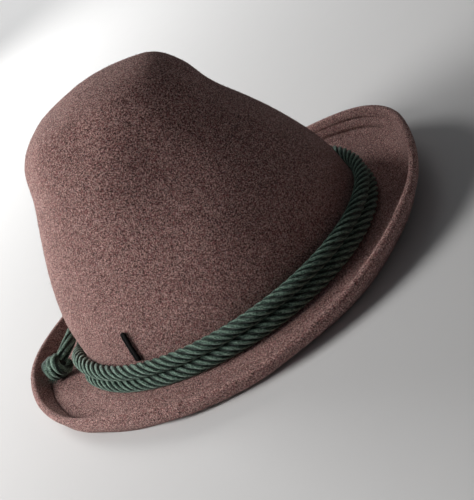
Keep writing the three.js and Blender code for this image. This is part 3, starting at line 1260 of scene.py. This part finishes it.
@dataclass
class CordKnot:
    """The knot: wraps of the cord about a core, with its frayed end."""

    cord: TwistedCord
    # degrees from the back centre, out and up in pitches of the cord
    turn: float = -7.0
    out: float = 2.52
    up: float = 0.40
    axis: tuple[float, float, float] = (0.96, -0.25, 0.13)
    lay: Lay = Lay(3, 46.0, 0.14, 12)
    wraps: float = 3.0
    start: float = 3.0
    pitch: float = 4.1
    reach: float = 5.3
    # half length of the egg that the coil is wound on, in halves of the coil's length
    bulge: float = 1.55
    sway: float = 0.8
    thickness: float = 3.1
    core_radius: float = 5.4
    core_half: float = 7.0
    fray: tuple[float, float, float] = (-0.72, -0.42, -0.55)
    fray_out: float = 5.6
    fray_spread: float = 0.33
    fray_width: float = 1.1
    fray_bend: float = 0.6
    fray_radius: float = 0.11
    fray_seed: int = 5
    # first step of the shortest fibre, what the longest has more, and the second step's share
    fray_shortest: float = 1.5
    fray_more: float = 1.9
    fray_second: float = 0.7

    def basis(self) -> tuple[Array, Array, Array, Array]:
        """The knot's own directions.

        Returns:
            Its middle, two directions across it and its axis.
        """
        place = (np.float64(v) for v in (self.turn, self.out, self.up))
        axis = unit(np.array(self.axis))
        first = unit(np.cross(axis, UP))
        return self.cord.beside_crown(*place), first, np.cross(axis, first), axis

    def wrap_line(self) -> Array:
        """Coil about the axis: radius a sqrt(1 - (h / half)^2), height h with a slow sway.

        Returns:
            Centre points, shape (n, 3).
        """
        middle, first, second, axis = self.basis()
        turned = np.linspace(0, self.wraps * FULL_TURN, 400)
        h = (turned / FULL_TURN - self.wraps / 2) * self.pitch
        phi = turned + self.start
        half = self.wraps * self.pitch / 2 * self.bulge
        r = self.reach * np.sqrt(1 - (h / half) ** 2)
        h = h + self.sway * np.sin(phi + 1.0)
        across = first * (r * np.cos(phi))[:, None] + second * (r * np.sin(phi))[:, None]
        return even_line(middle + across + axis * h[:, None], 0.6)

    def core(self) -> Array:
        """Egg that fills the middle of the coil: sin(v) across the axis, cos(v) along it.

        Returns:
            Rings, shape (rows, columns, 3).
        """
        middle, first, second, axis = self.basis()
        v = np.linspace(0, math.pi, 16)[1:-1][:, None]
        a = np.linspace(0, FULL_TURN, 24, endpoint=False)[None, :]
        across, along = self.core_radius * np.sin(v), self.core_half * np.cos(v)
        x, y, z = np.broadcast_arrays(across * np.cos(a), across * np.sin(a), along)
        return middle + x[..., None] * first + y[..., None] * second + z[..., None] * axis

    def build(self, finish: bpy.types.Material) -> bpy.types.Object:
        """Makes the knot.

        Args:
            finish: the yarn.

        Returns:
            The finished piece, in place of the CAD node cord_knot.
        """
        parts = MeshParts("knot_wraps")
        line = self.wrap_line()
        rings, uv = self.lay.rings(line, rounded(line, self.thickness), self.basis()[3])
        parts.add_rings(rings, uv)
        parts.add_rings(self.core())
        return finish_piece(parts.build(), finish, Slot.CORD, "cord_knot")

    def build_fray(self, finish: bpy.types.Material, count: int = 260) -> bpy.types.Object:
        """Makes the frayed end: fibres that spread from the low outer side of the knot.

        Args:
            finish: their colour.
            count: how many.

        Returns:
            The finished piece.
        """
        rng = np.random.default_rng(self.fray_seed)
        way = unit(np.array(self.fray))
        spread = unit(way + rng.normal(0, self.fray_spread, (count, 3)))
        start = self.basis()[0] + way * self.fray_out
        roots = start + rng.normal(0, self.fray_width, (count, 3))
        length = self.fray_shortest + self.fray_more * rng.random((count, 1))
        bent = unit(spread + rng.normal(0, self.fray_bend, (count, 3)))
        parts = MeshParts("knot_fray")
        parts.add_fibres(roots, spread * length, bent * length * self.fray_second, self.fray_radius)
        return finish_piece(parts.build(), finish, Slot.CORD)


@dataclass
class ThreadLoop:
    """The short loop of black thread: two legs side by side, joined by a bend at the top."""

    shape: HoodShape
    azimuth: float = -119.4
    top_share: float = 0.21
    # height of its foot above the upper turn's middle, in diameters of the cord
    hidden: float = 0.32
    width: float = 3.0
    thickness: float = 1.8
    fullness: float = 1.45
    lay: Lay = Lay(3, 5.5, 0.22, 7)

    def line(self) -> Array:
        """Hairpin on the crown: up one leg, a half circle, down the other, in its surface.

        Returns:
            Centre points, shape (n, 3).
        """
        radius = self.width / 4
        foot = self.shape.cord.pitch + self.hidden * self.shape.cord.diameter
        low = foot / self.shape.crown_height
        high = self.top_share - radius / self.shape.crown_height
        leg = np.linspace(low, high, 40)
        turn = np.linspace(math.pi, 0, 24)
        share = np.concatenate([leg, high + radius * np.sin(turn) / self.shape.crown_height, leg[::-1]])
        aside = np.concatenate([np.full(40, -radius), radius * np.cos(turn), np.full(40, radius)])
        t = np.linspace(0, 3, 400)
        s = self.shape.top - np.interp(share, self.shape.section(t)[:, 0], t)
        a = np.full_like(s, math.radians(self.azimuth))
        normal = self.shape.normal(s, a)
        across = unit(self.shape.point(s, a + 0.01) - self.shape.point(s, a - 0.01))
        lift = self.shape.cord.clearance + self.thickness / 2
        return even_line(self.shape.point(s, a) + across * aside[:, None] + normal * lift, 0.35)

    def build(self, finish: bpy.types.Material) -> bpy.types.Object:
        """Makes the loop.

        Args:
            finish: the thread.

        Returns:
            The finished piece, in place of the CAD node thread_loop.
        """
        line = self.line()
        place = np.array([self.shape.top - 1.0]), np.array([math.radians(self.azimuth)])
        outward = self.shape.normal(*place)[0]
        rings, uv = self.lay.rings(line, rounded(line, self.width / 4 * self.fullness), outward)
        parts = MeshParts("loop_thread")
        parts.add_rings(rings, uv)
        return finish_piece(parts.build(), finish, Slot.THREAD, "thread_loop")


# Stage


@dataclass(frozen=True)
class Lamp:
    """A square soft light."""

    name: str
    place: tuple[float, float, float]
    aim: tuple[float, float, float]
    size: float
    watts: float
    tint: tuple[float, float, float] = (1.0, 1.0, 1.0)
    spread: float = 180.0

    def build(self) -> None:
        """Adds the light, turned to look at its aim."""
        data = bpy.data.lights.new(self.name, "AREA")
        data.shape = "SQUARE"
        data.size, data.energy, data.color = self.size, self.watts, self.tint
        data.spread = math.radians(self.spread)
        obj = bpy.data.objects.new(self.name, data)
        obj.location = self.place
        obj.rotation_mode = "QUATERNION"
        obj.rotation_quaternion = (Vector(self.aim) - Vector(self.place)).to_track_quat("-Z", "Y")
        bpy.context.scene.collection.objects.link(obj)


def studio_lamps() -> tuple[Lamp, ...]:
    """Lights of the photograph: a window at the left, and the pale floor behind the hat.

    Returns:
        The lamps: window, a second one behind it, a weak fill from the front, and one
        straight down on the floor behind the hat so that it stays pale there.
    """
    hat = (0.0, 0.0, 0.06)
    return (
        Lamp("window", (-0.86, -0.21, 0.62), hat, 0.50, 11.9, (1.0, 0.985, 0.97)),
        Lamp("side", (-0.80, 0.82, 0.46), hat, 0.40, 10.5, (1.0, 0.99, 0.98)),
        Lamp("fill", (-0.2, -1.7, 1.0), hat, 1.6, 0.5, (0.97, 0.98, 1.0)),
        Lamp("far", (0.3, 2.6, 2.2), (0.3, 2.6, 0.0), 3.6, 42.0, spread=60.0),
    )


@dataclass
class Studio:
    """Camera, floor and lights."""

    # the camera's angles in degrees, and its place against the hat in millimetres
    azimuth: float = 15.02
    elevation: float = 26.742
    roll: float = -37.193
    offset: tuple[float, float] = (-12.417, -11.293)
    distance: float = 554.22
    focal_pixels: float = 900.0
    image: tuple[int, int] = (474, 500)
    sensor: float = 36.0
    floor_half: float = 6.0
    lamps: tuple[Lamp, ...] = field(default_factory=studio_lamps)
    sky: Colour = (0.94, 0.96, 1.0, 1.0)
    sky_strength: float = 0.065

    def camera(self) -> None:
        """Places the camera: its axes are the azimuth and elevation turned by the roll."""
        a, e, r = (math.radians(v) for v in (self.azimuth, self.elevation, self.roll))
        back = np.array([math.sin(a) * math.cos(e), -math.cos(a) * math.cos(e), math.sin(e)])
        level = np.array([math.cos(a), math.sin(a), 0.0])
        rise = np.cross(back, level)
        right = math.cos(r) * level + math.sin(r) * rise
        up = math.cos(r) * rise - math.sin(r) * level
        place = HAT_PLACE - self.offset[0] * right - self.offset[1] * up + self.distance * back
        data = bpy.data.cameras.new("camera")
        data.sensor_width = self.sensor
        data.lens = self.focal_pixels * self.sensor / max(self.image)
        data.clip_start, data.clip_end = 0.01, 50.0
        made = bpy.data.objects.new("camera", data)
        bpy.context.scene.collection.objects.link(made)
        turned = Matrix((right, up, back)).transposed().to_4x4()
        made.matrix_world = Matrix.Translation(Vector(place * MM)) @ turned
        bpy.context.scene.camera = made

    def floor(self) -> None:
        """A wide pale floor at z = 0."""
        half = self.floor_half
        mesh = bpy.data.meshes.new("floor")
        corners = [(-half, -half, 0.0), (half, -half, 0.0), (half, half, 0.0), (-half, half, 0.0)]
        mesh.from_pydata(corners, [], [(0, 1, 2, 3)])
        obj = bpy.data.objects.new("floor", mesh)
        bpy.context.scene.collection.objects.link(obj)
        obj.data.materials.append(FloorFinish().make())

    def build(self) -> None:
        """Sets the whole stage."""
        self.camera()
        self.floor()
        for lamp in self.lamps:
            lamp.build()
        world = bpy.data.worlds.new("room")
        bpy.context.scene.world = world
        world.use_nodes = True
        background = world.node_tree.nodes["Background"]
        background.inputs["Color"].default_value = self.sky
        background.inputs["Strength"].default_value = self.sky_strength
        bpy.context.scene.view_settings.view_transform = "Standard"


def main() -> None:
    """Builds the stage and the hat's pieces in order."""
    logging.basicConfig(level=logging.INFO)
    Studio().build()
    shape = HoodShape()
    hood = FeltHood(shape)
    cord = TwistedCord(shape)
    knot = CordKnot(cord)
    green = CordFinish().make()
    green_hair = FibreFinish("green_hairs", (0.045, 0.085, 0.066, 1.0)).make()
    hood.build(FeltFinish().make())
    hood.build_nap(FibreFinish("felt_hairs", (0.22, 0.14, 0.12, 1.0)).make())
    cord.build(green)
    cord.build_hairs(green_hair)
    knot.build(green)
    knot.build_fray(green_hair)
    ThreadLoop(shape).build(ThreadFinish().make())


if __name__ == "__main__":
    main()
